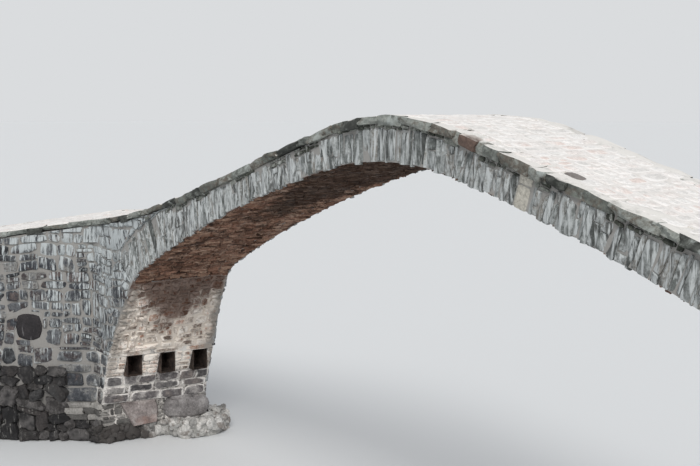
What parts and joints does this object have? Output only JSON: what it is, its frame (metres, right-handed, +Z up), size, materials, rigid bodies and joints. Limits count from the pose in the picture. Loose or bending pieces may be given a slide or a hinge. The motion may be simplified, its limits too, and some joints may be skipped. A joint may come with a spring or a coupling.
{
  "type": "stone arch bridge",
  "caption": "Humped stone arch bridge of thin radial slabs with a pale paved deck, low coping and abutments whose approaches turn to one side.",
  "frame": {"origin": "on the ground, at the centre of the bounding box's underside, below the crest of the arch in X", "axes": "+X along the bridge, +Y away from the shown face, +Z up"},
  "size_m": [34.8096, 7.4188, 8.8],
  "materials": {
    "rubble_stone": "rough rubble in lime mortar",
    "ring_stone": "rough split slabs with lime streaks",
    "soffit_stone": "rough, rust brown",
    "dressed_blocks": "rough blocks with pale joints",
    "footing_rubble": "rubble concrete",
    "lime_paving": "lime mortar with small flat stones",
    "coping_slabs": "lichened slabs"
  },
  "bodies": {
    "root": {"left_footing": "footing_rubble", "right_footing": "footing_rubble", "left_boulder_course": "dressed_blocks", "right_boulder_course": "dressed_blocks", "left_block_courses": "dressed_blocks", "right_block_courses": "dressed_blocks", "left_abutment": "rubble_stone", "right_abutment": "rubble_stone", "left_approach_near_wall": "rubble_stone", "right_approach_near_wall": "rubble_stone", "left_approach_far_wall": "rubble_stone", "right_approach_far_wall": "rubble_stone", "left_approach_fill": "rubble_stone", "right_approach_fill": "rubble_stone", "left_approach_paving": "lime_paving", "right_approach_paving": "lime_paving", "left_approach_near_coping": "coping_slabs", "right_approach_near_coping": "coping_slabs", "left_approach_far_coping": "coping_slabs", "right_approach_far_coping": "coping_slabs", "near_ring_left": "ring_stone", "near_ring_crown": "ring_stone", "near_ring_right": "ring_stone", "far_ring_left": "ring_stone", "far_ring_crown": "ring_stone", "far_ring_right": "ring_stone", "barrel_left": "soffit_stone", "barrel_crown": "soffit_stone", "barrel_right": "soffit_stone", "near_spandrel_left": "ring_stone", "near_spandrel_right": "ring_stone", "far_spandrel_left": "ring_stone", "far_spandrel_right": "ring_stone", "left_spandrel_fill": "rubble_stone", "right_spandrel_fill": "rubble_stone", "paving_left": "lime_paving", "paving_crown": "lime_paving", "paving_right": "lime_paving", "near_coping_left": "coping_slabs", "near_coping_crown": "coping_slabs", "near_coping_right": "coping_slabs", "far_coping_left": "coping_slabs", "far_coping_crown": "coping_slabs", "far_coping_right": "coping_slabs"}
  },
  "joints": []
}
